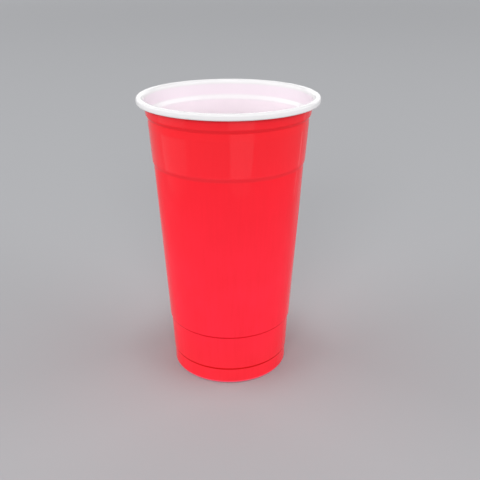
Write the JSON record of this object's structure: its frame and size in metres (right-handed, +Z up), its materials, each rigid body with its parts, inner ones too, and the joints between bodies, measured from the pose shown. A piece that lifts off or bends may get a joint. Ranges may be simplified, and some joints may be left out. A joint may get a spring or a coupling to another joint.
{
  "type": "plastic drinks cup",
  "caption": "Tall tapered disposable plastic drinks cup, red outside and white inside, with stepped sides, a stacking ledge and a rolled rim that takes a press-on lid.",
  "frame": {"origin": "centre of the cup on the table plane that its foot ring stands on", "axes": "+Z up along the cup's axis, from the foot to the mouth; X and Y are free, because the cup is round"},
  "size_m": [0.098, 0.098, 0.1602],
  "materials": {
    "cup": "gloss red polypropylene outside, gloss white inside and over the rolled rim"
  },
  "bodies": {
    "root": {"cup": "cup"}
  },
  "joints": []
}
